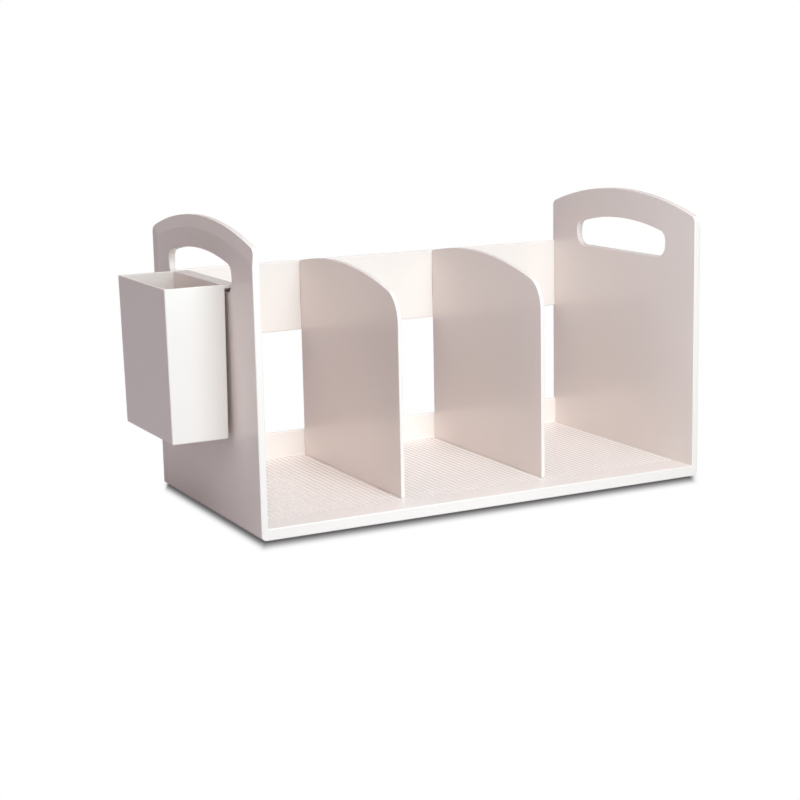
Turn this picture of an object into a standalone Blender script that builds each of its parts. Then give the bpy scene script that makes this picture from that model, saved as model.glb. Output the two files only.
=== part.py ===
"""Bookend organizer: a desk rack with two arched side panels, two dividers, a ribbed tray as floor,
a back rail and a pen holder that hooks through the left hand slot. Lengths in metres, +Z up, the open
front towards -Y."""

import math

import bmesh
import bpy
from mathutils import Matrix, Vector

# Whole rack, without the pen holder
rack_width = 0.350
rack_depth = 0.192
seat_gap = 0.0003
overrun = 0.002
sink = 0.0006

# Side panels: one arc over the top, slopes along the top and rear of the outer face
panel_thick = 0.005
panel_top = 0.2068
panel_arc = 0.306
panel_corner = 0.005
panel_foot_corner = 0.0008
panel_front_round = 0.0008
panel_inner_round = 0.0006
panel_bottom_round = 0.0035
rear_slope_width = 0.014
rear_slope_drop = 0.0016
top_slope_width = 0.009
top_slope_drop = 0.001

# Hand slot in each side panel
slot_half_length = 0.0592
slot_height = 0.0251
slot_drop = 0.0223
slot_arc = 0.245
slot_low_corner = 0.0096
slot_top_corner = 0.0075
slot_outer_round = 0.001
slot_inner_round = 0.001
slot_flare = 0.005

# Tray: floor plate, walls turned down around it, lip along the rear, stiffening webs underneath
floor_top = 0.0079
floor_thick = 0.0024
tray_wall = 0.0024
lip_top = 0.028
lip_thick = 0.0024
lip_round = 0.001
web_thick = 0.0016
web_clear = 0.0015
web_side_inset = 0.057
web_long_offset = 0.022

# Fine ribs on the floor, front to back
rib_pitch = 0.00417
rib_foot = 0.0024
rib_crest = 0.0016
rib_height = 0.0003
rib_front_margin = 0.017
rib_rear_margin = 0.003
rib_side_margin = 0.0025

# Tongues of the tray in sockets of the side panels
tongue_offset = 0.045
tongue_length = 0.020
tongue_low = 0.0022
tongue_high = 0.0058
tongue_reach = 0.0025

# Dividers
divider_thick = 0.003
divider_setback = 0.0262
divider_drop = 0.0418
divider_top_offset = 0.032
divider_front_corner = 0.022
divider_rear_corner = 0.002
divider_foot_corner = 0.0006
divider_edge_round = 0.0005
divider_tab_thick = 0.0024
divider_tab_length = 0.020
divider_tab_offset = 0.050
divider_tab_middle = 0.010
divider_tab_reach = 0.0026
divider_hook_rise = 0.018
divider_hook_height = 0.016

# Back rail
rail_height = 0.0532
rail_drop = 0.0476
rail_thick = 0.0025
rail_edge_round = 0.0006
nib_reach = 0.0013
nib_height = 0.010
nib_thick = 0.0016
nib_inset = 0.006

# Pen holder: open box that narrows downwards
holder_width = 0.0421
holder_depth = 0.0939
holder_height = 0.1036
holder_rise = 0.0057
holder_front = -0.0527
holder_side_gap = 0.002
holder_side_taper = 0.0012
holder_end_taper = 0.0006
holder_wall = 0.0018
holder_floor = 0.002
holder_corner = 0.0008
holder_inner_corner = 0.0006

# Hook of the pen holder, and the spacers that keep it off the side panel
hook_drop = 0.0002
hook_thick = 0.0024
hook_inset = 0.0003
hook_round = 0.0004
hook_lip_drop = 0.0064
hook_lip_gap = 0.0007
hook_lip_thick = 0.0021
saddle_front = -0.040
saddle_rear = 0.028
saddle_overhang = 0.0004
spacer_rise = 0.007
spacer_height = 0.004
spacer_length = 0.006
spacer_offset = 0.022

# Rubber feet under the tray
foot_radius = 0.007
foot_stand = 0.0008
foot_thick = 0.0025
foot_round = 0.0004
foot_post_radius = 0.0085
foot_side_inset = 0.025
foot_end_inset = 0.018

# Steps of the round shapes
arc_steps = 26
corner_steps = 4
wide_corner_steps = 9
rim_steps = 4
turn_steps = 32
edge_steps = 2

# Faces that several pieces share
half_width = rack_width / 2
half_depth = rack_depth / 2
inner_x = half_width - panel_thick
floor_under = floor_top - floor_thick
slot_top = panel_top - slot_drop
slot_low = slot_top - slot_height
bay_width = (2 * inner_x - 2 * divider_thick) / 3
bay_starts = [-inner_x + k * (bay_width + divider_thick) for k in range(3)]
ribs_per_bay = int((bay_width - 2 * rib_side_margin) / rib_pitch) + 1
web_side_offset = inner_x - web_side_inset
foot_x = half_width - foot_side_inset
foot_y = half_depth - foot_end_inset
rail_front = half_depth - rail_thick
rail_high = panel_top - rail_drop
rail_low = rail_high - rail_height
divider_lefts = [start + bay_width for start in bay_starts[:2]]
divider_front = -half_depth + divider_setback
divider_top = panel_top - divider_drop
divider_hook_low = rail_low + divider_hook_rise
divider_hook_high = divider_hook_low + divider_hook_height
holder_right = -half_width - holder_side_gap
holder_left = holder_right - holder_width
holder_top = slot_low + holder_rise
hook_lip_low = slot_low - hook_lip_drop
spacer_low = holder_top - holder_height + spacer_rise

# Plastic and rubber
white_plastic = (0.85, 0.78, 0.75)
grey_rubber = (0.09, 0.09, 0.09)
plastic_roughness = 0.28
rubber_roughness = 0.75


def fresh_scene():
    """An empty scene with one collection for the pieces and a hidden one for cutting shapes."""
    for obj in list(bpy.data.objects):
        bpy.data.objects.remove(obj, do_unlink=True)
    pieces = bpy.data.collections.new("bookend_organizer")
    shapes = bpy.data.collections.new("cutting_shapes")
    for group in (pieces, shapes):
        bpy.context.scene.collection.children.link(group)
    shapes.hide_render = True
    return pieces, shapes


pieces, shapes = fresh_scene()


def surface(name, colour, roughness):
    """A plain material with this colour and roughness."""
    made = bpy.data.materials.new(name)
    made.use_nodes = True
    shader = made.node_tree.nodes["Principled BSDF"]
    shader.inputs["Base Color"].default_value = (*colour, 1)
    shader.inputs["Roughness"].default_value = roughness
    shader.inputs["Metallic"].default_value = 0
    made.diffuse_color = (*colour, 1)
    return made


def as_shape(obj):
    """Keeps an object as a shape for joining or cutting only."""
    obj.hide_render = True
    obj.display_type = "WIRE"
    return obj


def object_from(bm, name):
    """A new shape from a closed bmesh, its faces turned outwards."""
    bmesh.ops.recalc_face_normals(bm, faces=bm.faces)
    mesh = bpy.data.meshes.new(name)
    bm.to_mesh(mesh)
    bm.free()
    obj = bpy.data.objects.new(name, mesh)
    shapes.objects.link(obj)
    return as_shape(obj)


def block(name, low, high):
    """A box between two corners."""
    low, high = Vector(low), Vector(high)
    bm = bmesh.new()
    bmesh.ops.create_cube(bm, size=1)
    bmesh.ops.scale(bm, vec=high - low, verts=bm.verts)
    bmesh.ops.translate(bm, vec=(high + low) / 2, verts=bm.verts)
    return object_from(bm, name)


def disc(name, radius, centre, low, high):
    """An upright cylinder around (x, y)."""
    bm = bmesh.new()
    bmesh.ops.create_cone(
        bm, cap_ends=True, segments=turn_steps, radius1=radius, radius2=radius, depth=high - low
    )
    bmesh.ops.translate(bm, vec=(centre[0], centre[1], (high + low) / 2), verts=bm.verts)
    return object_from(bm, name)


def loft(name, sections):
    """A closed solid through outlines of (y, z) points, each at its own x."""
    bm = bmesh.new()
    rings = [[bm.verts.new((x, y, z)) for y, z in outline] for x, outline in sections]
    for near, far in zip(rings, rings[1:]):
        for k in range(len(near)):
            bm.faces.new((near[k - 1], near[k], far[k], far[k - 1]))
    bm.faces.new(rings[0])
    bm.faces.new(reversed(rings[-1]))
    return object_from(bm, name)


def sheet(name, outline, low, high, across):
    """A flat piece: a filled outline made thick from low to high along X or Y."""
    curve = bpy.data.curves.new(name, "CURVE")
    curve.dimensions = "2D"
    curve.fill_mode = "BOTH"
    curve.extrude = (high - low) / 2
    spline = curve.splines.new("POLY")
    spline.points.add(len(outline) - 1)
    for point, (u, v) in zip(spline.points, outline):
        point.co = (u, v, 0, 1)
    spline.use_cyclic_u = True
    flat = bpy.data.objects.new(name, curve)
    shapes.objects.link(flat)
    if across == "x":
        turn = Matrix(((0, 0, 1), (1, 0, 0), (0, 1, 0))).to_4x4()
        flat.matrix_world = Matrix.Translation(((high + low) / 2, 0, 0)) @ turn
    else:
        turn = Matrix(((1, 0, 0), (0, 0, -1), (0, 1, 0))).to_4x4()
        flat.matrix_world = Matrix.Translation((0, (high + low) / 2, 0)) @ turn
    bpy.context.view_layer.update()
    seen = flat.evaluated_get(bpy.context.evaluated_depsgraph_get())
    mesh = bpy.data.meshes.new_from_object(seen)
    mesh.transform(flat.matrix_world)
    bpy.data.objects.remove(flat, do_unlink=True)
    bm = bmesh.new()
    bm.from_mesh(mesh)
    bpy.data.meshes.remove(mesh)
    bmesh.ops.remove_doubles(bm, verts=bm.verts, dist=sink / 100)
    return object_from(bm, name)


def round_edges(obj, width, steps):
    """Rounds every edge that is sharper than the steps of the round shapes."""
    bevel = obj.modifiers.new("rounded_edges", "BEVEL")
    bevel.width = width
    bevel.segments = steps
    bevel.limit_method = "ANGLE"
    bevel.angle_limit = math.radians(50)
    return obj


def combine(obj, others, operation):
    """Joins other shapes to this one, or cuts them out of it."""
    for other in others:
        change = obj.modifiers.new(other.name, "BOOLEAN")
        change.operation = operation
        change.solver = "EXACT"
        change.object = other
    return obj


def arc(centre, radius, start, end, steps):
    """Points along an arc, both ends included; angles from +Y towards +Z."""
    turns = [start + (end - start) * k / steps for k in range(steps + 1)]
    return [(centre[0] + radius * math.cos(a), centre[1] + radius * math.sin(a)) for a in turns]


def arched_outline(front, rear, low, top, radius, middle, corners, grow, front_steps):
    """A straight bottom, upright ends and an arc on top; corners holds (low, top front, top rear)."""
    front, rear, low, radius = front - grow, rear + grow, low - grow, radius + grow
    low_corner, front_corner, rear_corner = [corner + grow for corner in corners]
    centre_z = top + grow - radius
    reach_front = front + front_corner - middle
    reach_rear = rear - rear_corner - middle
    front_z = centre_z + math.sqrt((radius - front_corner) ** 2 - reach_front**2)
    rear_z = centre_z + math.sqrt((radius - rear_corner) ** 2 - reach_rear**2)
    front_turn = math.atan2(front_z - centre_z, reach_front)
    rear_turn = math.atan2(rear_z - centre_z, reach_rear)
    low_z = low + low_corner
    points = arc((front + low_corner, low_z), low_corner, math.pi, 1.5 * math.pi, corner_steps)
    points += arc((rear - low_corner, low_z), low_corner, 1.5 * math.pi, 2 * math.pi, corner_steps)
    points += arc((rear - rear_corner, rear_z), rear_corner, 0, rear_turn, corner_steps)
    points += arc((middle, centre_z), radius, rear_turn, front_turn, arc_steps)[1:-1]
    points += arc((front + front_corner, front_z), front_corner, front_turn, math.pi, front_steps)
    return points


def round_inset(radius, depth):
    """How far a rounded edge lies inside the full outline at this depth below the face."""
    if depth >= radius:
        return 0
    return radius - math.sqrt(radius**2 - (radius - depth) ** 2)


# Side panels
def panel_outline(depth):
    """The side panel's outline at this depth below its outer face."""
    left = panel_thick - depth
    inner = round_inset(panel_inner_round, left)
    front = round_inset(panel_front_round, depth) + inner
    bottom = round_inset(panel_bottom_round, depth) + inner
    rear = rear_slope_width * max(1 - depth / rear_slope_drop, 0) + inner
    top = top_slope_width * max(1 - depth / top_slope_drop, 0) + inner
    return arched_outline(
        -half_depth + front,
        half_depth - rear,
        bottom,
        panel_top - top,
        panel_arc - top,
        0,
        (panel_foot_corner, panel_corner, panel_corner),
        0,
        corner_steps,
    )


def slot_outline(grow):
    """The hand slot's outline, grown by this much all round."""
    return arched_outline(
        -slot_half_length,
        slot_half_length,
        slot_low,
        slot_top,
        slot_arc,
        0,
        (slot_low_corner, slot_top_corner, slot_top_corner),
        grow,
        corner_steps,
    )


def side_panel(name, side):
    """One side panel; side is -1 on the left and 1 on the right."""

    def at(depth):
        return side * (half_width - depth)

    turns = [k * math.pi / 2 / rim_steps for k in range(rim_steps + 1)]
    outer_depths = [panel_bottom_round * (1 - math.cos(turn)) for turn in turns]
    inner_depths = [panel_thick - panel_inner_round * (1 - math.cos(turn)) for turn in turns[::2]]
    depths = sorted({*outer_depths, panel_front_round, top_slope_drop, rear_slope_drop, *inner_depths})
    panel = loft(name, [(at(depth), panel_outline(depth)) for depth in depths])
    opening = [(at(-overrun), slot_outline(slot_flare))]
    for turn in turns[1:]:
        grow = slot_outer_round * (1 - math.sin(turn))
        opening.append((at(slot_outer_round * (1 - math.cos(turn))), slot_outline(grow)))
    for turn in reversed(turns[1:]):
        grow = slot_inner_round * (1 - math.sin(turn))
        opening.append((at(panel_thick - slot_inner_round * (1 - math.cos(turn))), slot_outline(grow)))
    opening.append((at(panel_thick + overrun), slot_outline(slot_flare)))
    cuts = [loft(name + "_slot_cut", opening)]
    for end, offset in enumerate((-tongue_offset, tongue_offset)):
        depth = at(panel_thick - tongue_reach - seat_gap)
        low = (depth, offset - tongue_length / 2 - seat_gap, tongue_low - seat_gap)
        high = (at(panel_thick + overrun), offset + tongue_length / 2 + seat_gap, tongue_high + seat_gap)
        cuts.append(spanning_block(f"{name}_tongue_cut_{end}", low, high))
    for end, nib_low in enumerate(nib_lows):
        depth = at(panel_thick - nib_reach - seat_gap)
        low = (depth, half_depth - nib_inset_y - seat_gap, nib_low - seat_gap)
        high = (at(panel_thick + overrun), half_depth + overrun, nib_low + nib_height + seat_gap)
        cuts.append(spanning_block(f"{name}_nib_cut_{end}", low, high))
    return combine(panel, cuts, "DIFFERENCE")


def spanning_block(name, one, other):
    """A box between two opposite corners, given in either order."""
    low = [min(pair) for pair in zip(one, other)]
    high = [max(pair) for pair in zip(one, other)]
    return block(name, low, high)


nib_inset_y = nib_thick + seat_gap
nib_lows = (rail_low + nib_inset, rail_high - nib_inset - nib_height)
left_side_panel = side_panel("left_side_panel", -1)
right_side_panel = side_panel("right_side_panel", 1)


# Dividers, with two tabs through the floor and one through the back rail
def divider(name, left):
    """One divider whose left face is at this x."""
    right = left + divider_thick
    outline = arched_outline(
        divider_front,
        rail_front - seat_gap,
        floor_top + seat_gap,
        divider_top,
        panel_arc,
        divider_top_offset,
        (divider_foot_corner, divider_front_corner, divider_rear_corner),
        0,
        wide_corner_steps,
    )
    plate = round_edges(sheet(name, outline, left, right, "x"), divider_edge_round, edge_steps)
    side = (divider_thick - divider_tab_thick) / 2
    tabs = []
    for end, (start, stop) in enumerate(tab_spans):
        low = (left + side, start, floor_under - divider_tab_reach)
        high = (right - side, stop, floor_top + seat_gap + overrun)
        tabs.append(block(f"{name}_tab_{end}", low, high))
    low = (left + side, rail_front - overrun, divider_hook_low)
    high = (right - side, half_depth - seat_gap, divider_hook_high)
    tabs.append(block(name + "_rail_tab", low, high))
    return combine(plate, tabs, "UNION")


tab_starts = [
    divider_tab_middle + offset - divider_tab_length / 2
    for offset in (-divider_tab_offset, divider_tab_offset)
]
tab_spans = [(start, start + divider_tab_length) for start in tab_starts]
left_divider = divider("left_divider", divider_lefts[0])
right_divider = divider("right_divider", divider_lefts[1])


# Tray with its lip, ribs, webs and posts
def rib_field(name, start):
    """The floor ribs of one bay, as one comb that sinks into the floor plate."""
    first = start + (bay_width - (ribs_per_bay - 1) * rib_pitch) / 2
    outline = [(first - rib_foot / 2, floor_top - 2 * sink)]
    for k in range(ribs_per_bay):
        middle = first + k * rib_pitch
        outline += [
            (middle - rib_foot / 2, floor_top - sink),
            (middle - rib_crest / 2, floor_top + rib_height),
            (middle + rib_crest / 2, floor_top + rib_height),
            (middle + rib_foot / 2, floor_top - sink),
        ]
    outline.append((outline[-1][0], floor_top - 2 * sink))
    low = -half_depth + rib_front_margin
    high = half_depth - lip_thick - rib_rear_margin
    return sheet(name, outline, low, high, "y")


def tray():
    """Floor plate with turned-down walls, rear lip, ribs above and webs and posts below."""
    side = inner_x - seat_gap
    body = block("base_tray", (-side, -half_depth, 0), (side, half_depth, floor_top))
    room = side - tray_wall
    depth = half_depth - tray_wall
    hollow = block("tray_hollow", (-room, -depth, -overrun), (room, depth, floor_under))
    combine(body, [hollow], "DIFFERENCE")
    joined = []
    low = (-side + sink, half_depth - lip_thick, sink)
    lip = block("tray_lip", low, (side - sink, half_depth - sink / 2, lip_top))
    joined.append(round_edges(lip, lip_round, edge_steps))
    for k, start in enumerate(bay_starts):
        joined.append(rib_field(f"floor_ribs_{k}", start))
    for k, x in enumerate((-web_side_offset, 0, web_side_offset)):
        low = (x - web_thick / 2, -depth - sink, web_clear)
        joined.append(block(f"cross_web_{k}", low, (x + web_thick / 2, depth + sink, floor_under + sink)))
    for k, y in enumerate((-web_long_offset, web_long_offset)):
        low = (-room - sink, y - web_thick / 2, web_clear + sink)
        joined.append(block(f"long_web_{k}", low, (room + sink, y + web_thick / 2, floor_under + 2 * sink)))
    for k, (x, y) in enumerate(foot_places):
        post_low = foot_thick - foot_stand + seat_gap
        post = disc(f"foot_post_{k}", foot_post_radius, (x, y), post_low, floor_under + 2 * sink)
        joined.append(post)
    for k, x in enumerate((-side, side)):
        for end, y in enumerate((-tongue_offset, tongue_offset)):
            reach = math.copysign(tongue_reach, x) + math.copysign(seat_gap, x)
            one = (x - math.copysign(sink, x), y - tongue_length / 2, tongue_low)
            other = (x + reach, y + tongue_length / 2, tongue_high)
            joined.append(spanning_block(f"tongue_{k}_{end}", one, other))
    combine(body, joined, "UNION")
    cuts = []
    for k, left in enumerate(divider_lefts):
        edge = (divider_thick - divider_tab_thick) / 2 - seat_gap
        for end, (start, stop) in enumerate(tab_spans):
            low = (left + edge, start - seat_gap, floor_under - overrun)
            high = (left + divider_thick - edge, stop + seat_gap, floor_top + overrun)
            cuts.append(block(f"floor_slot_{k}_{end}", low, high))
    return combine(body, cuts, "DIFFERENCE")


foot_places = [(x, y) for x in (-foot_x, foot_x) for y in (-foot_y, foot_y)]
base_tray = tray()


# Back rail between the side panels, with nibs at its ends and a slot for each divider
def rail():
    """The upper band across the back."""
    side = inner_x - seat_gap
    body = block("back_rail", (-side, rail_front, rail_low), (side, half_depth, rail_high))
    round_edges(body, rail_edge_round, edge_steps)
    nibs = []
    for k, x in enumerate((-side, side)):
        for end, low in enumerate(nib_lows):
            outward = x + math.copysign(nib_reach + seat_gap, x)
            one = (x - math.copysign(overrun, x), half_depth - nib_inset_y, low)
            other = (outward, half_depth - seat_gap, low + nib_height)
            nibs.append(spanning_block(f"nib_{k}_{end}", one, other))
    combine(body, nibs, "UNION")
    cuts = []
    for k, left in enumerate(divider_lefts):
        edge = (divider_thick - divider_tab_thick) / 2 - seat_gap
        low = (left + edge, rail_front - overrun, divider_hook_low - seat_gap)
        high = (left + divider_thick - edge, half_depth + overrun, divider_hook_high + seat_gap)
        cuts.append(block(f"rail_slot_{k}", low, high))
    return combine(body, cuts, "DIFFERENCE")


back_rail = rail()


# Pen holder with its hook
def narrowing_box(name, inset, low, high):
    """A closed box that narrows downwards as the holder does, its sides set in by this much."""
    rings = []
    for z in (low, high):
        share = (holder_top - z) / holder_height
        side = inset + holder_side_taper * share
        end = inset + holder_end_taper * share
        left, right = holder_left + side, holder_right - side
        front, rear = holder_front + end, holder_front + holder_depth - end
        rings.append([(left, front, z), (right, front, z), (right, rear, z), (left, rear, z)])
    bm = bmesh.new()
    bottom, top = [[bm.verts.new(point) for point in ring] for ring in rings]
    bm.faces.new(reversed(bottom))
    bm.faces.new(top)
    for k in range(4):
        bm.faces.new((bottom[k - 1], bottom[k], top[k], top[k - 1]))
    return object_from(bm, name)


def holder():
    """The open box, the hook over the slot's lower edge, and two spacers low on the panel's side."""
    bottom = holder_top - holder_height
    box = round_edges(narrowing_box("pen_holder", 0, bottom, holder_top), holder_corner, edge_steps)
    room = narrowing_box("holder_room", holder_wall, bottom + holder_floor, holder_top + overrun)
    combine(box, [round_edges(room, holder_inner_corner, edge_steps)], "DIFFERENCE")
    rear = holder_front + holder_depth
    top = holder_top - hook_drop
    root = holder_right - holder_wall / 2
    lip_outer = -inner_x + hook_lip_gap
    lip_inner = lip_outer + hook_lip_thick
    outline = [
        (root, top),
        (root, top - hook_thick),
        (lip_outer, top - hook_thick),
        (lip_outer, hook_lip_low),
        (lip_inner, hook_lip_low),
        (lip_inner, top),
    ]
    hook = sheet("holder_hook", outline, holder_front + hook_inset, rear - hook_inset, "y")
    round_edges(hook, hook_round, edge_steps)
    low = (-half_width - saddle_overhang, saddle_front, slot_low + seat_gap)
    high = (lip_outer + sink, saddle_rear, top - hook_thick + sink)
    joined = [hook, block("holder_saddle", low, high)]
    middle = (holder_front + rear) / 2
    for k, y in enumerate((middle - spacer_offset, middle + spacer_offset)):
        low = (root - holder_side_taper, y - spacer_length / 2, spacer_low)
        high = (-half_width - seat_gap, y + spacer_length / 2, spacer_low + spacer_height)
        joined.append(block(f"holder_spacer_{k}", low, high))
    return combine(box, joined, "UNION")


pen_holder = holder()


# Rubber feet
def rubber_foot(name, place):
    """A round foot, its top just below the tray's post."""
    pad = disc(name, foot_radius, place, -foot_stand, foot_thick - foot_stand)
    return round_edges(pad, foot_round, edge_steps)


foot_names = ("foot_front_left", "foot_rear_left", "foot_front_right", "foot_rear_right")
feet = [rubber_foot(name, place) for name, place in zip(foot_names, foot_places)]


# Finished pieces: own material, own place under the rack's empty
def finish(obj, place, colour, roughness, parent):
    """Moves a shape to the pieces, its origin at the given place of the rack."""
    shapes.objects.unlink(obj)
    pieces.objects.link(obj)
    obj.hide_render = False
    obj.display_type = "TEXTURED"
    obj.data.transform(Matrix.Translation(-Vector(place)))
    obj.location = place
    obj.parent = parent
    obj.data.materials.append(surface(obj.name + "_surface", colour, roughness))
    obj.data.shade_smooth()
    obj.data.set_sharp_from_angle(angle=math.radians(35))


rack = bpy.data.objects.new("bookend_organizer_frame", None)
pieces.objects.link(rack)
rack.location = (-(holder_left + half_width) / 2, 0, foot_stand)
white_pieces = (base_tray, left_side_panel, right_side_panel, left_divider, right_divider, back_rail)
for piece in white_pieces:
    finish(piece, (0, 0, 0), white_plastic, plastic_roughness, rack)
for foot in feet:
    finish(foot, (0, 0, 0), grey_rubber, rubber_roughness, rack)
holder_x = (holder_left + holder_right) / 2
holder_middle = (holder_x, holder_front + holder_depth / 2, holder_top - holder_height)
finish(pen_holder, holder_middle, white_plastic, plastic_roughness, rack)
for shape in shapes.objects:
    shape.parent = rack
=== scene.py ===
import math

import bmesh
import bpy
from mathutils import Matrix, Vector


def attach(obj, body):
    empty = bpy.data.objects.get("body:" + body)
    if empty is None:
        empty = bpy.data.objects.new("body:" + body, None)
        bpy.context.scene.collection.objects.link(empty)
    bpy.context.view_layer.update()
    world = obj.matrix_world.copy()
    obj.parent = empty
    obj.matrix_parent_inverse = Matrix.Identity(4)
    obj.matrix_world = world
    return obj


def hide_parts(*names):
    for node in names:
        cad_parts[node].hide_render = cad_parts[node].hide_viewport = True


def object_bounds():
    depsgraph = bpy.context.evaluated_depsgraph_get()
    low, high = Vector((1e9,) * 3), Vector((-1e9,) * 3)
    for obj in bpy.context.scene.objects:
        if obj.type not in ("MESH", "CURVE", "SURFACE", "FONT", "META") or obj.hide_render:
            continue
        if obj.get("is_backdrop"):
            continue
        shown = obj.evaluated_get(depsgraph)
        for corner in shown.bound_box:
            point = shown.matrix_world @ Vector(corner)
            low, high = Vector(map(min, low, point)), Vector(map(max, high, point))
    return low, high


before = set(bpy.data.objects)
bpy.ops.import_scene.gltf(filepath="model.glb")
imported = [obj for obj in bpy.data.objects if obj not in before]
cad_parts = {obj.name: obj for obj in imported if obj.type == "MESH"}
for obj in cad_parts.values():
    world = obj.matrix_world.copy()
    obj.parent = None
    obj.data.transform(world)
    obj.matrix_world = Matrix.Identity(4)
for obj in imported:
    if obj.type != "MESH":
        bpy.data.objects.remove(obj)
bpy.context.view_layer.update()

# The room: a white floor and white surroundings, the viewpoint of the photograph, soft far lights from the
# front, above, below, the left and the rear right, and two small soft lamps close to the bays. The floor is
# clear from below and lets light through, so that the underside can be seen.
rack_place = Vector((0.02205, 0, 0.0008))
view_from = Vector((-0.577138, -1.130842, 0.313231))
view_turn, view_tilt, view_roll = 0.471488, -0.194484, -0.020679
view_focal_pixels, picture_pixels, film_width = 1763.47, 800, 36

tilt_run = math.cos(view_tilt)
forward = Vector((math.sin(view_turn) * tilt_run, math.cos(view_turn) * tilt_run, math.sin(view_tilt)))
level = Vector((math.cos(view_turn), -math.sin(view_turn), 0))
upright = level.cross(forward)
across = math.cos(view_roll) * level + math.sin(view_roll) * upright
above = -math.sin(view_roll) * level + math.cos(view_roll) * upright

camera_data = bpy.data.cameras.new("viewpoint")
camera_data.sensor_fit = "HORIZONTAL"
camera_data.sensor_width = film_width
camera_data.lens = view_focal_pixels / picture_pixels * film_width
camera_data.clip_end = 20
camera = bpy.data.objects.new("viewpoint", camera_data)
bpy.context.scene.collection.objects.link(camera)
camera.matrix_world = Matrix.Translation(view_from) @ Matrix((across, above, -forward)).transposed().to_4x4()
bpy.context.scene.camera = camera
bpy.context.scene.view_settings.view_transform = "Standard"


def lamp(name, place, aim, size, power, colour):
    """A square soft lamp that faces a point."""
    data = bpy.data.lights.new(name, "AREA")
    data.shape = "SQUARE"
    data.size = size
    data.energy = power
    data.color = colour
    obj = bpy.data.objects.new(name, data)
    bpy.context.scene.collection.objects.link(obj)
    turned = (Vector(place) - Vector(aim)).to_track_quat("Z", "Y").to_matrix().to_4x4()
    obj.matrix_world = Matrix.Translation(place) @ turned
    obj.visible_camera = False


def far_light(name, turn, rise, spread, power, colour):
    """A soft light from far away; turn is from the front towards the left, in degrees like the others."""
    data = bpy.data.lights.new(name, "SUN")
    data.angle = math.radians(spread)
    data.energy = power
    data.color = colour
    obj = bpy.data.objects.new(name, data)
    bpy.context.scene.collection.objects.link(obj)
    turn, rise = math.radians(turn), math.radians(rise)
    way = Vector((-math.sin(turn) * math.cos(rise), -math.cos(turn) * math.cos(rise), math.sin(rise)))
    obj.matrix_world = way.to_track_quat("Z", "Y").to_matrix().to_4x4()


far_light("high_front", turn=10, rise=48, spread=30, power=1.27, colour=(0.845, 0.95, 1.0))
far_light("low_front", turn=5, rise=8, spread=20, power=0.79, colour=(0.74, 0.95, 1.0))
far_light("ceiling", turn=0, rise=88, spread=60, power=1.14, colour=(0.93, 0.94, 1.0))
far_light("left_side", turn=90, rise=22, spread=45, power=0.55, colour=(0.96, 0.92, 1.0))
far_light("rear_right", turn=234, rise=4, spread=30, power=1.50, colour=(0.96, 0.95, 1.0))
far_light("below", turn=0, rise=-88, spread=60, power=0.60, colour=(0.96, 0.95, 1.0))
bays_middle = (0.0, 0.0, 0.05)
lamp("over_bays", (0.0, -0.3, 0.45), bays_middle, size=0.2, power=0.55, colour=(0.75, 0.91, 1.0))
lamp("before_bays", (0.0, -0.6, 0.25), bays_middle, size=0.3, power=1.52, colour=(0.75, 0.95, 1.0))

world = bpy.data.worlds.new("white_room")
bpy.context.scene.world = world
world.use_nodes = True
tree = world.node_tree
tree.nodes.clear()
out = tree.nodes.new("ShaderNodeOutputWorld")
mix = tree.nodes.new("ShaderNodeMixShader")
white_seen, dim_fill = (1, 1, 1, 1), (0.042, 0.020, 0.013, 1)
seen = tree.nodes.new("ShaderNodeBackground")
seen.inputs["Color"].default_value = white_seen
lit = tree.nodes.new("ShaderNodeBackground")
lit.inputs["Color"].default_value = dim_fill
path = tree.nodes.new("ShaderNodeLightPath")
tree.links.new(path.outputs["Is Camera Ray"], mix.inputs["Fac"])
tree.links.new(seen.outputs[0], mix.inputs[2])
tree.links.new(mix.outputs[0], out.inputs["Surface"])

# Reflections see a dim room with a half bright backdrop at the rear.
backdrop_from, backdrop_full, backdrop_strength = 0.30, 0.60, 0.5
looked = tree.nodes.new("ShaderNodeTexCoord")
facing = tree.nodes.new("ShaderNodeSeparateXYZ")
tree.links.new(looked.outputs["Generated"], facing.inputs[0])
behind = tree.nodes.new("ShaderNodeMapRange")
behind.inputs["From Min"].default_value = backdrop_from
behind.inputs["From Max"].default_value = backdrop_full
behind.inputs["To Max"].default_value = backdrop_strength
tree.links.new(facing.outputs["Y"], behind.inputs["Value"])
mirrored = tree.nodes.new("ShaderNodeMath")
mirrored.operation = "MULTIPLY"
tree.links.new(behind.outputs["Result"], mirrored.inputs[0])
tree.links.new(path.outputs["Is Glossy Ray"], mirrored.inputs[1])
backdrop = tree.nodes.new("ShaderNodeMixShader")
tree.links.new(mirrored.outputs[0], backdrop.inputs["Fac"])
tree.links.new(lit.outputs[0], backdrop.inputs[1])
tree.links.new(seen.outputs[0], backdrop.inputs[2])
tree.links.new(backdrop.outputs[0], mix.inputs[1])

floor_half_size = 4
paper_colour = (0.48, 0.45, 0.47, 1)
floor_mesh = bpy.data.meshes.new("floor")
bm = bmesh.new()
bmesh.ops.create_grid(bm, x_segments=1, y_segments=1, size=floor_half_size)
bm.to_mesh(floor_mesh)
bm.free()
floor = bpy.data.objects.new("floor", floor_mesh)
bpy.context.scene.collection.objects.link(floor)
floor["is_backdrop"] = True
paper = bpy.data.materials.new("white_paper")
paper.use_nodes = True
tree = paper.node_tree
tree.nodes.clear()
out = tree.nodes.new("ShaderNodeOutputMaterial")
mix = tree.nodes.new("ShaderNodeMixShader")
bounce = tree.nodes.new("ShaderNodeBsdfDiffuse")
bounce.inputs["Color"].default_value = paper_colour
glow = tree.nodes.new("ShaderNodeEmission")
path = tree.nodes.new("ShaderNodeLightPath")
tree.links.new(path.outputs["Is Camera Ray"], mix.inputs["Fac"])
tree.links.new(bounce.outputs[0], mix.inputs[1])
tree.links.new(glow.outputs[0], mix.inputs[2])
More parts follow.
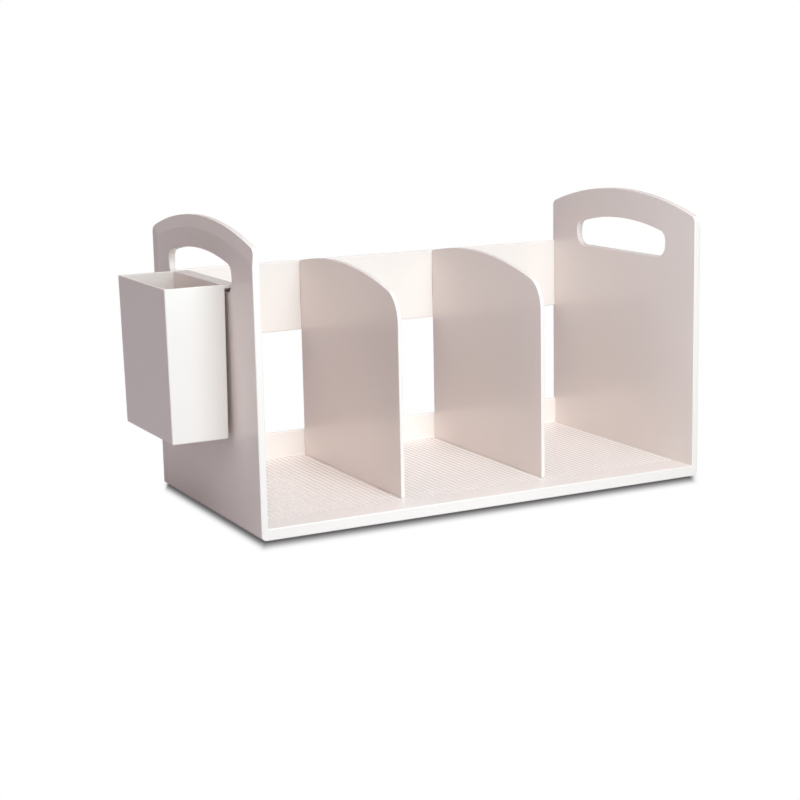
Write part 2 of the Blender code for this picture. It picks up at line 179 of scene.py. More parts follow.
face = tree.nodes.new("ShaderNodeNewGeometry")
clear = tree.nodes.new("ShaderNodeBsdfTransparent")
passed = tree.nodes.new("ShaderNodeMath")
passed.operation = "MAXIMUM"
tree.links.new(face.outputs["Backfacing"], passed.inputs[0])
tree.links.new(path.outputs["Is Shadow Ray"], passed.inputs[1])
sided = tree.nodes.new("ShaderNodeMixShader")
tree.links.new(passed.outputs[0], sided.inputs["Fac"])
tree.links.new(mix.outputs[0], sided.inputs[1])
tree.links.new(clear.outputs[0], sided.inputs[2])
tree.links.new(sided.outputs[0], out.inputs["Surface"])
floor_mesh.materials.append(paper)


def worked(operation, *values):
    """A math node on numbers or on other nodes' outputs."""
    made = tree.nodes.new("ShaderNodeMath")
    made.operation = operation
    for socket, value in zip(made.inputs, values):
        if isinstance(value, (int, float)):
            socket.default_value = value
        else:
            tree.links.new(value, socket)
    return made.outputs[0]


# The painted shadow on the floor: dark where the rack stands and for about 30 mm towards the viewer, as in
# the photograph, with a narrow darker band of painted contact shade right along every edge that meets the
# floor.
shadow_turn = math.radians(27)
turn_sine, turn_cosine = math.sin(shadow_turn), math.cos(shadow_turn)
shadow_reach, shadow_soft = 0.0245, 0.006
shadow_left, shadow_right, shadow_front, shadow_rear = -0.1505, 0.1965, -0.0955, 0.0955
shadow_darkest, shadow_green = (0.165, 0.160, 0.165, 1), 0.99
shadow_shades = ((0.10, 0.21), (0.20, 0.29), (0.35, 0.42), (0.50, 0.62), (0.65, 0.80), (0.80, 0.94))
contact_shade_reach, contact_shade_colour, contact_shade_start, contact_shade_end = 0.006, (0.72, 0.71, 0.72, 1), 0.25, 0.85
place = tree.nodes.new("ShaderNodeTexCoord")
parts = tree.nodes.new("ShaderNodeSeparateXYZ")
tree.links.new(place.outputs["Object"], parts.inputs[0])
from_front = worked("MULTIPLY", worked("SUBTRACT", shadow_front, parts.outputs["Y"]), 1 / turn_cosine)
from_left = worked("MULTIPLY", worked("SUBTRACT", shadow_left, parts.outputs["X"]), 1 / turn_sine)
way = worked("MAXIMUM", worked("MAXIMUM", from_front, from_left), 0)
met_x = worked("ADD", parts.outputs["X"], worked("MULTIPLY", way, turn_sine))
met_y = worked("ADD", parts.outputs["Y"], worked("MULTIPLY", way, turn_cosine))
within_x = worked("DIVIDE", worked("SUBTRACT", shadow_right, met_x), shadow_soft)
within_y = worked("DIVIDE", worked("SUBTRACT", shadow_rear, met_y), shadow_soft)
within = worked("MINIMUM", worked("MINIMUM", within_x, within_y), 1)
within = worked("MAXIMUM", within, 0)
share = worked("MINIMUM", worked("DIVIDE", way, shadow_reach), 1)
outside = worked("SUBTRACT", 1, worked("MULTIPLY", within, worked("SUBTRACT", 1, share)))
fade = tree.nodes.new("ShaderNodeValToRGB")
fade.color_ramp.elements[0].color = shadow_darkest
fade.color_ramp.elements[1].color = (1, 1, 1, 1)
for spot, shade in shadow_shades:
    element = fade.color_ramp.elements.new(spot)
    element.color = (shade, shade * shadow_green, shade, 1)
tree.links.new(outside, fade.inputs["Fac"])
# Painted contact shade: ambient occlusion within a few millimetres darkens the floor's glow along the rack's
# edges.
near = tree.nodes.new("ShaderNodeAmbientOcclusion")
near.samples = 12
near.inputs["Distance"].default_value = contact_shade_reach
contact_shade = tree.nodes.new("ShaderNodeValToRGB")
contact_shade.color_ramp.elements[0].position = contact_shade_start
contact_shade.color_ramp.elements[0].color = contact_shade_colour
contact_shade.color_ramp.elements[1].position = contact_shade_end
contact_shade.color_ramp.elements[1].color = (1, 1, 1, 1)
tree.links.new(near.outputs["AO"], contact_shade.inputs["Fac"])
blend = tree.nodes.new("ShaderNodeMix")
blend.data_type = "RGBA"
blend.blend_type = "MULTIPLY"
blend.inputs["Factor"].default_value = 1
tree.links.new(fade.outputs["Color"], blend.inputs["A"])
tree.links.new(contact_shade.outputs["Color"], blend.inputs["B"])
tree.links.new(blend.outputs["Result"], glow.inputs["Color"])

# Base tray: one moulding of warm white, half gloss ABS. A floor plate with its walls turned down, a low lip
# along the rear, stiffening webs and four posts underneath, and slots that take the dividers' tabs.
rack_width, rack_depth = 0.350, 0.192
half_width, half_depth = rack_width / 2, rack_depth / 2
panel_thick = 0.005
inner_x = half_width - panel_thick
floor_top, floor_thick = 0.0079, 0.0024
floor_under = floor_top - floor_thick
tray_wall = 0.0024
lip_top, lip_thick, lip_round = 0.028, 0.0024, 0.0011
tray_edge_round, tray_fillet = 0.0007, 0.0012
divider_thick = 0.003
bay_width = (2 * inner_x - 2 * divider_thick) / 3
bay_starts = [-inner_x + k * (bay_width + divider_thick) for k in range(3)]
divider_lefts = [start + bay_width for start in bay_starts[:2]]
tab_left, tab_right, tab_play = 0.0003, 0.0027, 0.0003
tab_spans = [(-0.050, -0.030), (0.050, 0.070)]
foot_places = [(x, y) for x in (-0.150, 0.150) for y in (-0.078, 0.078)]
web_half, cross_web_places, cross_web_low = 0.0008, (-0.113, 0, 0.113), 0.0015
long_web_places, long_web_low = (-0.022, 0.022), 0.0019
post_radius, post_low = 0.0085, 0.0018
hair, tray_reach, cut_past = 0.00001, 0.0007, 0.001
wall_overlap, web_overlap, long_web_overlap, post_overlap = 0.0008, 0.0006, 0.0009, 0.0011


def moulded_finish():
    """Node group for moulded plastic: faint mottling of the colour, uneven gloss and a fine skin."""
    group = bpy.data.node_groups.new("moulded_finish", "ShaderNodeTree")
    for name, kind, value in (
        ("Place", "NodeSocketVector", (0, 0, 0)),
        ("Base", "NodeSocketColor", (0.8, 0.8, 0.8, 1)),
        ("Shade", "NodeSocketColor", (0.7, 0.7, 0.7, 1)),
        ("Gloss", "NodeSocketFloat", 0.3),
        ("Uneven", "NodeSocketFloat", 0.06),
        ("Cloud Scale", "NodeSocketFloat", 14.0),
        ("Skin Scale", "NodeSocketFloat", 1400.0),
        ("Skin Share", "NodeSocketFloat", 0.35),
    ):
        socket = group.interface.new_socket(name, in_out="INPUT", socket_type=kind)
        socket.default_value = value
    group.interface.new_socket("Colour", in_out="OUTPUT", socket_type="NodeSocketColor")
    group.interface.new_socket("Roughness", in_out="OUTPUT", socket_type="NodeSocketFloat")
    group.interface.new_socket("Height", in_out="OUTPUT", socket_type="NodeSocketFloat")
    nodes, links = group.nodes, group.links
    given = nodes.new("NodeGroupInput")
    result = nodes.new("NodeGroupOutput")

    def noise(scale, detail, rough):
        """A noise on the object's own place; scale is a number or the name of an input."""
        made = nodes.new("ShaderNodeTexNoise")
        made.inputs["Detail"].default_value = detail
        made.inputs["Roughness"].default_value = rough
        links.new(given.outputs["Place"], made.inputs["Vector"])
        if isinstance(scale, str):
            links.new(given.outputs[scale], made.inputs["Scale"])
        else:
            made.inputs["Scale"].default_value = scale
        return made

    cloud = noise("Cloud Scale", 3, 0.55)
    flow = nodes.new("ShaderNodeVectorMath")
    flow.operation = "MULTIPLY"
    flow.inputs[1].default_value = (1, 1, 0.12)
    links.new(given.outputs["Place"], flow.inputs[0])
    links.new(flow.outputs["Vector"], cloud.inputs["Vector"])
    tint = nodes.new("ShaderNodeMix")
    tint.data_type = "RGBA"
    links.new(cloud.outputs["Fac"], tint.inputs["Factor"])
    links.new(given.outputs["Base"], tint.inputs["A"])
    links.new(given.outputs["Shade"], tint.inputs["B"])
    links.new(tint.outputs["Result"], result.inputs["Colour"])
    smear = noise(46, 5, 0.62)
    spread = nodes.new("ShaderNodeMath")
    spread.operation = "MULTIPLY_ADD"
    centre = nodes.new("ShaderNodeMath")
    centre.operation = "SUBTRACT"
    centre.inputs[1].default_value = 0.5
    links.new(smear.outputs["Fac"], centre.inputs[0])
    links.new(centre.outputs[0], spread.inputs[0])
    links.new(given.outputs["Uneven"], spread.inputs[1])
    links.new(given.outputs["Gloss"], spread.inputs[2])
    links.new(spread.outputs[0], result.inputs["Roughness"])
    skin = noise("Skin Scale", 2, 0.5)
    wave = noise(160, 2, 0.4)
    height = nodes.new("ShaderNodeMix")
    links.new(given.outputs["Skin Share"], height.inputs["Factor"])
    links.new(wave.outputs["Fac"], height.inputs["A"])
    links.new(skin.outputs["Fac"], height.inputs["B"])
    links.new(height.outputs["Result"], result.inputs["Height"])
    return group


finish_group = moulded_finish()


def moulded(name, base, shade, gloss, uneven, cloud, skin, share, bump, refraction):
    """A moulded material with its own values in the shared group."""
    made = bpy.data.materials.new(name)
    made.use_nodes = True
    nodes, links = made.node_tree.nodes, made.node_tree.links
    shader = nodes["Principled BSDF"]
    shader.inputs["IOR"].default_value = refraction
    place = nodes.new("ShaderNodeTexCoord")
    group = nodes.new("ShaderNodeGroup")
    group.node_tree = finish_group
    links.new(place.outputs["Object"], group.inputs["Place"])
    for key, value in (
        ("Base", (*base, 1)),
        ("Shade", (*shade, 1)),
        ("Gloss", gloss),
        ("Uneven", uneven),
        ("Cloud Scale", cloud),
        ("Skin Scale", skin),
        ("Skin Share", share),
    ):
        group.inputs[key].default_value = value
    relief = nodes.new("ShaderNodeBump")
    relief.inputs["Distance"].default_value = bump
    relief.inputs["Strength"].default_value = 1
    links.new(group.outputs["Colour"], shader.inputs["Base Color"])
    links.new(group.outputs["Roughness"], shader.inputs["Roughness"])
    links.new(group.outputs["Height"], relief.inputs["Height"])
    links.new(relief.outputs["Normal"], shader.inputs["Normal"])
    return made


white_gloss = moulded(
    "white_gloss_abs", base=(0.86, 0.745, 0.69), shade=(0.84, 0.725, 0.67), gloss=0.24, uneven=0.03,
    cloud=30, skin=1400, share=0.75, bump=0.000002, refraction=1.53,
)
white_ribbed = moulded(
    "white_ribbed_abs", base=(0.85, 0.74, 0.69), shade=(0.83, 0.72, 0.67), gloss=0.38, uneven=0.05,
    cloud=34, skin=1700, share=0.8, bump=0.000004, refraction=1.53,
)


def object_of(bm, name):
    """A new object from a closed bmesh, its faces turned outwards."""
    bmesh.ops.recalc_face_normals(bm, faces=bm.faces)
    mesh = bpy.data.meshes.new(name)
    bm.to_mesh(mesh)
    bm.free()
    obj = bpy.data.objects.new(name, mesh)
    bpy.context.scene.collection.objects.link(obj)
    return obj


def block(name, one, other, rounding=0, steps=3):
    """A box between two opposite corners, with rounded edges if a radius is given."""
    low = Vector([min(pair) for pair in zip(one, other)])
    high = Vector([max(pair) for pair in zip(one, other)])
    bm = bmesh.new()
    bmesh.ops.create_cube(bm, size=1)
    bmesh.ops.scale(bm, vec=high - low, verts=bm.verts)
    bmesh.ops.translate(bm, vec=(high + low) / 2, verts=bm.verts)
    if rounding:
        bmesh.ops.bevel(bm, geom=bm.edges[:], offset=rounding, segments=steps, profile=0.5, affect="EDGES")
    return object_of(bm, name)


def loft(name, rings):
    """A closed solid through rings of points with equal counts, its two ends filled."""
    bm = bmesh.new()
    made = [[bm.verts.new(point) for point in ring] for ring in rings]
    for near_ring, far_ring in zip(made, made[1:]):
        for k in range(len(near_ring)):
            bm.faces.new((near_ring[k - 1], near_ring[k], far_ring[k], far_ring[k - 1]))
    bm.faces.new(made[0])
    bm.faces.new(reversed(made[-1]))
    return object_of(bm, name)


def arc(centre, radius, start, end, steps):
    """Points along an arc, both ends included; angles from the first axis towards the second."""
    turns = [start + (end - start) * k / steps for k in range(steps + 1)]
    return [(centre[0] + radius * math.cos(a), centre[1] + radius * math.sin(a)) for a in turns]


def circle(middle_x, middle_y, radius, z):
    """Points all round at one height."""
    steps = 47
    turns = arc((0, 0), radius, 0, 2 * math.pi * steps / (steps + 1), steps)
    return [(middle_x + u, middle_y + v, z) for u, v in turns]


def changed(obj, others, operation):
    """Joins the other shapes to this one or cuts them out of it, and removes them."""
    for other in others:
        step = obj.modifiers.new(other.name, "BOOLEAN")
        step.operation = operation
        step.solver = "EXACT"
        step.object = other
    mesh = bpy.data.meshes.new_from_object(obj.evaluated_get(bpy.context.evaluated_depsgraph_get()))
    obj.modifiers.clear()
    obj.data = mesh
    for other in others:
        bpy.data.objects.remove(other, do_unlink=True)
    return obj


sharp_turn, same_point = math.radians(38), 1e-7


def placed(obj, material, body, node):
    """Gives a finished shape its even shading, material, place in the frame and body, and hides the named
    model part.
    """
    mesh = obj.data
    bm = bmesh.new()
    bm.from_mesh(mesh)
    bmesh.ops.remove_doubles(bm, verts=bm.verts, dist=same_point)
    bmesh.ops.transform(bm, matrix=Matrix.Translation(rack_place), verts=bm.verts)
    bm.to_mesh(mesh)
    bm.free()
    mesh.materials.clear()
    mesh.materials.append(material)
    mesh.shade_smooth()
    mesh.set_sharp_from_angle(angle=sharp_turn)
    even = obj.modifiers.new("even_shading", "WEIGHTED_NORMAL")
    even.mode = "FACE_AREA"
    even.weight = 100
    even.keep_sharp = True
    shaded = bpy.data.meshes.new_from_object(obj.evaluated_get(bpy.context.evaluated_depsgraph_get()))
    obj.modifiers.clear()
    obj.data = shaded
    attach(obj, body)
    if node:
        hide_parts(node)
    return obj


def tray_profile():
    """Outline in (y, z): front edge, floor, fillet, rear lip with a round top, and the hollow underneath."""
    front, rear = -half_depth + hair, half_depth - hair
    r, f, t = tray_edge_round, tray_fillet, lip_round
    lip_front = rear - lip_thick
    points = arc((front + r, r), r, math.pi, 1.5 * math.pi, 4)[::-1]
    points += arc((front + r, floor_top - r), r, math.pi, 0.5 * math.pi, 5)
    points += arc((lip_front - f, floor_top + f), f, 1.5 * math.pi, 2 * math.pi, 6)
    points += arc((lip_front + t, lip_top - t), t, math.pi, 0.5 * math.pi, 6)
    points += arc((rear - t, lip_top - t), t, 0.5 * math.pi, 0, 6)
    points += arc((rear - r, r), r, 0, -0.5 * math.pi, 4)
    points += [(rear - tray_wall, 0), (rear - tray_wall, floor_under)]
    points += [(front + tray_wall, floor_under), (front + tray_wall, 0)]
    return points


profile = tray_profile()
tray = loft("tray", [[(x, y, z) for y, z in profile] for x in (-inner_x - tray_reach, inner_x + tray_reach)])
joined = []
room_x, room_y = inner_x - tray_wall, half_depth - tray_wall
for side in (-1, 1):
    low = (side * (inner_x - 2 * hair), -room_y - wall_overlap, 2 * hair)
    high = (side * room_x, room_y + wall_overlap, floor_under + wall_overlap)
    joined.append(block(f"end_wall_{side}", low, high))
for k, x in enumerate(cross_web_places):
    low = (x - web_half, -room_y - web_overlap, cross_web_low)
    high = (x + web_half, room_y + web_overlap, floor_under + web_overlap)
    joined.append(block(f"cross_web_{k}", low, high))
for k, y in enumerate(long_web_places):
    low = (-room_x - web_overlap, y - web_half, long_web_low)
    high = (room_x + web_overlap, y + web_half, floor_under + long_web_overlap)
    joined.append(block(f"long_web_{k}", low, high))
for k, (x, y) in enumerate(foot_places):
    ends = [circle(x, y, post_radius, z) for z in (post_low, floor_under + post_overlap)]
    joined.append(loft(f"post_{k}", ends))
tray = changed(tray, joined, "UNION")
cuts = []
for k, left in enumerate(divider_lefts):
    for end, (start, stop) in enumerate(tab_spans):
        low = (left + tab_left - tab_play, start - tab_play, floor_under - cut_past)
        high = (left + tab_right + tab_play, stop + tab_play, floor_top + cut_past)
        cuts.append(block(f"floor_slot_{k}_{end}", low, high))
tray = changed(tray, cuts, "DIFFERENCE")
tray = placed(tray, white_gloss, "rack_body", "base_tray")

# Floor ribs: fine rounded ribs of the same moulding that run front to back in each bay, so that books slide
# in but stay upright. They stop short of a plain band along the front edge.
rib_pitch, rib_wide, rib_high, ribs_per_bay = 0.00417, 0.0024, 0.0001, 26
rib_front, rib_rear = -half_depth + 0.022, half_depth - lip_thick - 0.003
rib_run_out, rib_lengthwise, rib_round = 0.009, 80, 12

rib_tree = bpy.data.node_groups.new("floor_ribs", "GeometryNodeTree")
rib_tree.interface.new_socket("Geometry", in_out="OUTPUT", socket_type="NodeSocketGeometry")
rib_sizes = {}
for name, kind, value in (
    ("Bays", "NodeSocketInt", 3),
    ("Bay Step", "NodeSocketFloat", bay_width + divider_thick),
    ("Ribs", "NodeSocketInt", ribs_per_bay),
    ("Pitch", "NodeSocketFloat", rib_pitch),
    ("Start", "NodeSocketVector", (0, 0, 0)),
    ("Front", "NodeSocketFloat", rib_front),
    ("Rear", "NodeSocketFloat", rib_rear),
    ("Run Out", "NodeSocketFloat", rib_run_out),
    ("Half Width", "NodeSocketFloat", rib_wide / 2),
    ("Flatness", "NodeSocketFloat", rib_high / (rib_wide / 2)),
    ("Material", "NodeSocketMaterial", None),
):
    socket = rib_tree.interface.new_socket(name, in_out="INPUT", socket_type=kind)
    if value is not None:
        socket.default_value = value
    rib_sizes[name] = socket.identifier
nodes, links = rib_tree.nodes, rib_tree.links
given = nodes.new("NodeGroupInput")
result = nodes.new("NodeGroupOutput")


def along(kind, source):
    """A vector node with one of its parts driven by a named size."""
    made = nodes.new("ShaderNodeCombineXYZ")
    links.new(given.outputs[source], made.inputs[kind])
    return made.outputs[0]


bays = nodes.new("GeometryNodeMeshLine")
links.new(given.outputs["Bays"], bays.inputs["Count"])
links.new(given.outputs["Start"], bays.inputs["Start Location"])
links.new(along("X", "Bay Step"), bays.inputs["Offset"])
row = nodes.new("GeometryNodeMeshLine")
links.new(given.outputs["Ribs"], row.inputs["Count"])
links.new(along("X", "Pitch"), row.inputs["Offset"])
rows = nodes.new("GeometryNodeInstanceOnPoints")
links.new(bays.outputs["Mesh"], rows.inputs["Points"])
links.new(row.outputs["Mesh"], rows.inputs["Instance"])
places = nodes.new("GeometryNodeRealizeInstances")
links.new(rows.outputs["Instances"], places.inputs["Geometry"])
line = nodes.new("GeometryNodeCurvePrimitiveLine")
links.new(along("Y", "Front"), line.inputs["Start"])
links.new(along("Y", "Rear"), line.inputs["End"])
spine = nodes.new("GeometryNodeResampleCurve")
spine.inputs["Count"].default_value = rib_lengthwise
links.new(line.outputs["Curve"], spine.inputs["Curve"])
section = nodes.new("GeometryNodeCurvePrimitiveCircle")
section.inputs["Resolution"].default_value = rib_round
links.new(given.outputs["Half Width"], section.inputs["Radius"])
bar = nodes.new("GeometryNodeCurveToMesh")
bar.inputs["Fill Caps"].default_value = True
links.new(spine.outputs["Curve"], bar.inputs["Curve"])
links.new(section.outputs["Curve"], bar.inputs["Profile Curve"])
spot = nodes.new("GeometryNodeInputPosition")
parts = nodes.new("ShaderNodeSeparateXYZ")
links.new(spot.outputs["Position"], parts.inputs[0])
height = given.outputs["Flatness"]
for end, sign in (("Front", 1), ("Rear", -1)):
    gap = nodes.new("ShaderNodeMath")
    gap.operation = "SUBTRACT"
    links.new(parts.outputs["Y"], gap.inputs[0 if sign == 1 else 1])
    links.new(given.outputs[end], gap.inputs[1 if sign == 1 else 0])
    rise = nodes.new("ShaderNodeMapRange")
    rise.interpolation_type = "SMOOTHSTEP"
    links.new(gap.outputs[0], rise.inputs["Value"])
    links.new(given.outputs["Run Out"], rise.inputs["From Max"])
    times = nodes.new("ShaderNodeMath")
    times.operation = "MULTIPLY"
    links.new(height, times.inputs[0])
    links.new(rise.outputs["Result"], times.inputs[1])
    height = times.outputs[0]
level_z = nodes.new("ShaderNodeMath")
level_z.operation = "MULTIPLY"
links.new(parts.outputs["Z"], level_z.inputs[0])
links.new(height, level_z.inputs[1])
lowered = nodes.new("ShaderNodeCombineXYZ")
links.new(parts.outputs["X"], lowered.inputs["X"])
links.new(parts.outputs["Y"], lowered.inputs["Y"])
links.new(level_z.outputs[0], lowered.inputs["Z"])
flat = nodes.new("GeometryNodeSetPosition")
links.new(bar.outputs["Mesh"], flat.inputs["Geometry"])
links.new(lowered.outputs[0], flat.inputs["Position"])
ribs = nodes.new("GeometryNodeInstanceOnPoints")
links.new(places.outputs["Geometry"], ribs.inputs["Points"])
links.new(flat.outputs["Geometry"], ribs.inputs["Instance"])
real = nodes.new("GeometryNodeRealizeInstances")
links.new(ribs.outputs["Instances"], real.inputs["Geometry"])
coat = nodes.new("GeometryNodeSetMaterial")
links.new(real.outputs["Geometry"], coat.inputs["Geometry"])
links.new(given.outputs["Material"], coat.inputs["Material"])
links.new(coat.outputs["Geometry"], result.inputs["Geometry"])

rib_object = bpy.data.objects.new("floor_ribs", bpy.data.meshes.new("floor_ribs"))
bpy.context.scene.collection.objects.link(rib_object)
maker = rib_object.modifiers.new("floor_ribs", "NODES")
maker.node_group = rib_tree
first_rib = bay_starts[0] + (bay_width - (ribs_per_bay - 1) * rib_pitch) / 2
maker[rib_sizes["Start"]] = (first_rib, 0, floor_top)
maker[rib_sizes["Material"]] = white_ribbed
rib_mesh = bpy.data.meshes.new_from_object(rib_object.evaluated_get(bpy.context.evaluated_depsgraph_get()))
rib_object.modifiers.clear()
rib_object.data = rib_mesh
placed(rib_object, white_ribbed, "rack_body", None)

# Rubber feet: four round pads of dark grey rubber glued under the posts, so that the rack stands just clear
# of the desk and does not slide.
grey_rubber = moulded(
    "grey_foot_rubber", base=(0.085, 0.083, 0.085), shade=(0.06, 0.058, 0.06), gloss=0.74, uneven=0.12,
    cloud=120, skin=2600, share=0.8, bump=0.00006, refraction=1.5,
)
foot_radius, foot_low, foot_high, foot_round = 0.007, -0.0008, 0.0017, 0.0005
foot_names = ("foot_front_left", "foot_rear_left", "foot_front_right", "foot_rear_right")
round_from = foot_radius - foot_round
foot_outline = arc((round_from, foot_low + foot_round), foot_round, -0.5 * math.pi, 0, 4)
foot_outline += arc((round_from, foot_high - foot_round), foot_round, 0, 0.5 * math.pi, 4)
for foot_name, (x, y) in zip(foot_names, foot_places):
    foot = loft(foot_name + "_pad", [circle(x, y, r, z) for r, z in foot_outline])
    placed(foot, grey_rubber, "rack_body", foot_name)

# Side panels: two mirrored mouldings of the same ABS, 5 mm thick, snapped onto the tray. The outer face
# slopes in along its top and rear edges, and its bottom edge and the hand slot's rims are rounded.
panel_top, panel_arc, panel_corner = 0.2068, 0.306, 0.005
panel_front_round, panel_inner_round, panel_bottom_round = 0.0008, 0.0006, 0.0035
rear_slope_width, rear_slope_drop = 0.014, 0.0016
top_slope_width, top_slope_drop = 0.009, 0.001
slot_half_length, slot_low, slot_top, slot_arc = 0.0592, 0.1594, 0.1845, 0.245
slot_low_corner, slot_top_corner = 0.0096, 0.0075
slot_rim_round, slot_past, slot_flare = 0.001, 0.002, 0.005


def arched(front, rear, low, top, radius, middle, corners, grow, steps):
    """Outline in (y, z) with an arc on top; the corners' radii are low, top front and top rear."""
    front, rear, low, radius = front - grow, rear + grow, low - grow, radius + grow
    low_corner, front_corner, rear_corner = [corner + grow for corner in corners]
    centre_z = top + grow - radius
    reach_front, reach_rear = front + front_corner - middle, rear - rear_corner - middle
    front_z = centre_z + math.sqrt((radius - front_corner) ** 2 - reach_front**2)
    rear_z = centre_z + math.sqrt((radius - rear_corner) ** 2 - reach_rear**2)
    front_turn = math.atan2(front_z - centre_z, reach_front)
    rear_turn = math.atan2(rear_z - centre_z, reach_rear)
    points = arc((front + low_corner, low + low_corner), low_corner, math.pi, 1.5 * math.pi, steps)
    points += arc((rear - low_corner, low + low_corner), low_corner, 1.5 * math.pi, 2 * math.pi, steps)
    points += arc((rear - rear_corner, rear_z), rear_corner, 0, rear_turn, steps)
    points += arc((middle, centre_z), radius, rear_turn, front_turn, 64)[1:-1]
    points += arc((front + front_corner, front_z), front_corner, front_turn, math.pi, 2 * steps)
    return points


def inset(radius, depth):
    """How far a rounded edge lies inside the full outline at this depth below the face."""
    return radius - math.sqrt(radius**2 - (radius - depth) ** 2) if depth < radius else 0


def panel_ring(depth):
    """The side panel's outline at this depth below its outer face."""
    inner = inset(panel_inner_round, panel_thick - depth)
    front = inset(panel_front_round, depth) + inner
    bottom = inset(panel_bottom_round, depth) + inner
    rear = rear_slope_width * max(1 - depth / rear_slope_drop, 0) + inner
    top = top_slope_width * max(1 - depth / top_slope_drop, 0) + inner
    corners = (panel_front_round, panel_corner, panel_corner)
    return arched(
        -half_depth + front, half_depth - rear, bottom, panel_top - top, panel_arc - top, 0, corners, 0, 6,
    )


def slot_ring(grow):
    """The hand slot's outline, grown by this much all round."""
    corners = (slot_low_corner, slot_top_corner, slot_top_corner)
    return arched(-slot_half_length, slot_half_length, slot_low, slot_top, slot_arc, 0, corners, grow, 10)


for panel_name, side in (("left_side_panel", -1), ("right_side_panel", 1)):

    def ring_at(depth, outline):
        return [(side * (half_width - depth), y, z) for y, z in outline]

    turns = [k * math.pi / 16 for k in range(9)]
    depths = {panel_bottom_round * (1 - math.cos(turn)) for turn in turns}
    depths |= {panel_front_round * (1 - math.cos(turn)) for turn in turns[1::2]}
    depths |= {top_slope_drop, rear_slope_drop}
    depths |= {panel_thick - panel_inner_round * (1 - math.cos(turn)) for turn in turns[::2]}
    panel = loft(panel_name + "_shell", [ring_at(depth, panel_ring(depth)) for depth in sorted(depths)])
    rings = [ring_at(-slot_past, slot_ring(slot_flare))]
    rims = []
    for turn in turns[1:]:
        rims.append((slot_rim_round * (1 - math.cos(turn)), slot_rim_round * (1 - math.sin(turn))))
    rings += [ring_at(depth, slot_ring(grow)) for depth, grow in rims]
    rings += [ring_at(panel_thick - depth, slot_ring(grow)) for depth, grow in reversed(rims)]
    rings.append(ring_at(panel_thick + slot_past, slot_ring(slot_flare)))
    panel = changed(panel, [loft(panel_name + "_slot", rings)], "DIFFERENCE")
    placed(panel, white_gloss, "rack_body", panel_name)

# Dividers: two equal flat sheets of the same ABS with a rounded front top corner. Two tabs below go through
# the tray's floor and one at the rear goes through the back rail.
divider_front, divider_top, divider_rise = -0.0698, 0.165, 0.032
divider_corner, divider_edge = 0.022, 0.0006
rail_low, rail_high, rail_thick = 0.106, 0.1592, 0.0025
rail_front = half_depth - rail_thick
rail_tab_low, rail_tab_high = 0.124, 0.140
rail_round, small_round = 0.0007, 0.0003
tab_drop, tab_root, rail_tab_short = 0.0026, 0.002, 0.0003
divider_low_corner, divider_rear_corner = 0.0007, 0.002

for divider_name, left in zip(("left_divider", "right_divider"), divider_lefts):

    def divider_ring(x):
        away = inset(divider_edge, min(x - left, left + divider_thick - x))
        corners = (divider_low_corner, divider_corner, divider_rear_corner)
        outline = arched(
            divider_front + away, rail_front - away, floor_top + away, divider_top - away,
            panel_arc - away, divider_rise, corners, 0, 9,
        )
        return [(x, y, z) for y, z in outline]

    steps = [divider_edge * (1 - math.cos(k * math.pi / 10)) for k in range(6)]
    spots = [left + step for step in steps] + [left + divider_thick - step for step in reversed(steps)]
    sheet = loft(divider_name + "_sheet", [divider_ring(x) for x in spots])
    tabs = []
    for end, (start, stop) in enumerate(tab_spans):
        low = (left + tab_left, start, floor_under - tab_drop)
        high = (left + tab_right, stop, floor_top + tab_root)
        tabs.append(block(f"{divider_name}_tab_{end}", low, high, small_round, 2))
    low = (left + tab_left, rail_front - tab_root, rail_tab_low)
    high = (left + tab_right, half_depth - rail_tab_short, rail_tab_high)
    tabs.append(block(divider_name + "_rail_tab", low, high, small_round, 2))
    sheet = changed(sheet, tabs, "UNION")
    placed(sheet, white_gloss, "rack_body", divider_name)

# Back rail: the upper band across the back, a plain flat moulding snapped between the side panels and onto
# the dividers' rear tabs. Below it the back is open down to the tray's lip.
rail = block("rail", (-inner_x, rail_front, rail_low), (inner_x, half_depth, rail_high), rail_round, 4)
cuts = []
for k, left in enumerate(divider_lefts):
    low = (left + tab_left - tab_play, rail_front - cut_past, rail_tab_low - tab_play)
    high = (left + tab_right + tab_play, half_depth + cut_past, rail_tab_high + tab_play)
    cuts.append(block(f"rail_slot_{k}", low, high))
rail = changed(rail, cuts, "DIFFERENCE")
placed(rail, white_gloss, "rack_body", "back_rail")

# Pen holder: an open, thin-walled moulding that narrows slightly downwards. A flat hook at the top of one
# side passes through the left hand slot and turns down inside; two small spacers below keep it upright.
holder_top, holder_high = 0.1651, 0.1036
holder_low = holder_top - holder_high
holder_right = -half_width - 0.002
holder_left = holder_right - 0.0421
holder_front, holder_rear = -0.0527, 0.0412
holder_wall, holder_floor = 0.0018, 0.002
side_taper, end_taper = 0.0012, 0.0006
outer_corner, inner_corner, room_corner = 0.0009, 0.0006, 0.0012
base_round, rim_round, room_round = 0.0008, 0.0004, 0.0012


def holder_ring(away, corner, z):
    """A rounded rectangle at this height, set in by this much from the outer walls."""
    share = (holder_top - z) / holder_high
    side, end = away + side_taper * share, away + end_taper * share
    left, right, front, rear = holder_left + side, holder_right - side, holder_front + end, holder_rear - end
    points = []
    for x, y, start in ((left, front, 1.0), (right, front, 1.5), (right, rear, 0.0), (left, rear, 0.5)):
        centre = (x + corner if x == left else x - corner, y + corner if y == front else y - corner)
        points += arc(centre, corner, start * math.pi, (start + 0.5) * math.pi, 5)
    return [(x, y, z) for x, y in points]


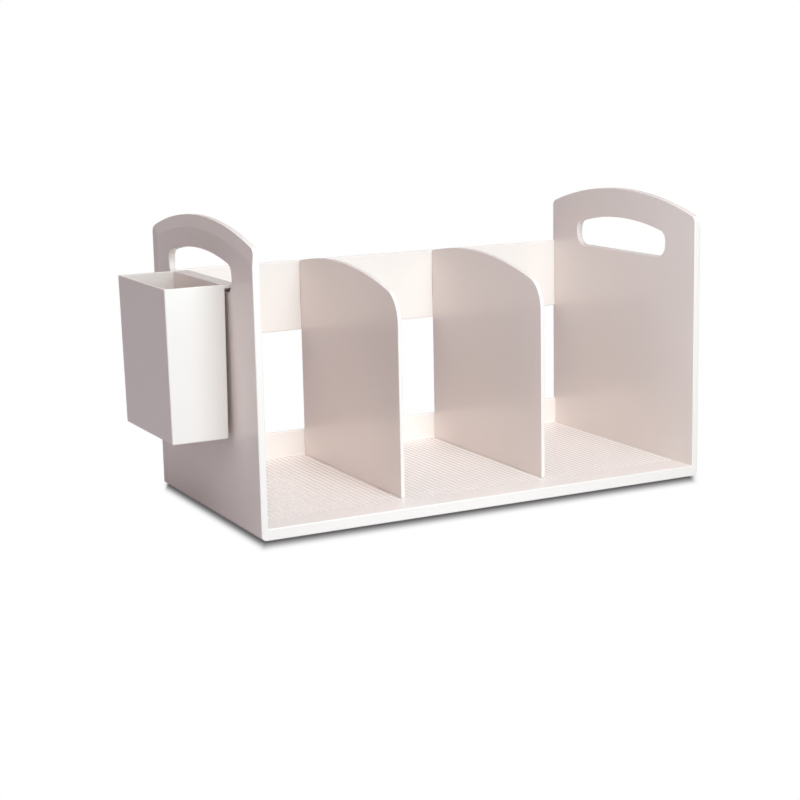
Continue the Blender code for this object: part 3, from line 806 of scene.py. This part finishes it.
# The holder's rings, from under its base up the outer walls, over the rim and down the inner walls.
rings = []
for turn in [k * math.pi / 10 for k in range(6)]:
    away = base_round * (1 - math.sin(turn))
    rings.append(holder_ring(away, outer_corner, holder_low + base_round * (1 - math.cos(turn))))
outer_rise = holder_high - base_round - rim_round
for k in range(1, 7):
    rings.append(holder_ring(0, outer_corner, holder_low + base_round + outer_rise * k / 6))
for turn in [k * math.pi / 8 for k in range(1, 5)]:
    away = rim_round * (1 - math.cos(turn))
    rings.append(holder_ring(away, outer_corner, holder_top - rim_round * (1 - math.sin(turn))))
for turn in [k * math.pi / 8 for k in range(5)]:
    away = holder_wall - rim_round * (1 - math.sin(turn))
    rings.append(holder_ring(away, inner_corner, holder_top - rim_round * (1 - math.cos(turn))))
room_low = holder_low + holder_floor
inner_fall = holder_high - holder_floor - rim_round - room_round
for k in range(1, 7):
    rings.append(holder_ring(holder_wall, inner_corner, holder_top - rim_round - inner_fall * k / 6))
for k in range(1, 6):
    turn = k * math.pi / 10
    away = holder_wall + room_round * (1 - math.cos(turn))
    corner = inner_corner + (room_corner - inner_corner) * k / 5
    rings.append(holder_ring(away, corner, room_low + room_round * (1 - math.sin(turn))))
holder = loft("holder", rings)

hook_sunk, hook_thick, hook_margin, hook_tip, hook_soft = 0.0002, 0.0024, 0.0003, 0.153, 0.0005
tip_play, tip_thick = 0.0007, 0.0021
saddle_front, saddle_rear, holder_play, saddle_past, saddle_overlap = -0.040, 0.028, 0.0003, 0.0004, 0.0006
spacer_half, spacer_low, spacer_high, spacer_apart = 0.003, 0.0685, 0.0725, 0.022
hook_top = holder_top - hook_sunk
hook_under = hook_top - hook_thick
root = holder_right - holder_wall / 2
tip_outer = -inner_x + tip_play
tip_inner = tip_outer + tip_thick
hook_outline = [
    (root, hook_top), (root, hook_under), (tip_outer, hook_under),
    (tip_outer, hook_tip), (tip_inner, hook_tip), (tip_inner, hook_top),
]
hook_ends = (holder_front + hook_margin, holder_rear - hook_margin)
hook = loft("holder_hook", [[(x, y, z) for x, z in hook_outline] for y in hook_ends])
soft = hook.modifiers.new("soft_edges", "BEVEL")
soft.width = hook_soft
soft.segments = 3
soft.limit_method = "ANGLE"
saddle_low = (-half_width - saddle_past, saddle_front, slot_low + holder_play)
saddle_high = (tip_outer + saddle_overlap, saddle_rear, hook_under + saddle_overlap)
joined = [hook, block("holder_saddle", saddle_low, saddle_high, small_round, 2)]
middle = (holder_front + holder_rear) / 2
for k, y in enumerate((middle - spacer_apart, middle + spacer_apart)):
    low = (root - side_taper, y - spacer_half, spacer_low)
    high = (-half_width - holder_play, y + spacer_half, spacer_high)
    joined.append(block(f"holder_spacer_{k}", low, high, small_round, 2))
holder = changed(holder, joined, "UNION")
placed(holder, white_gloss, "pen_holder_body", "pen_holder")

low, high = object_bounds()
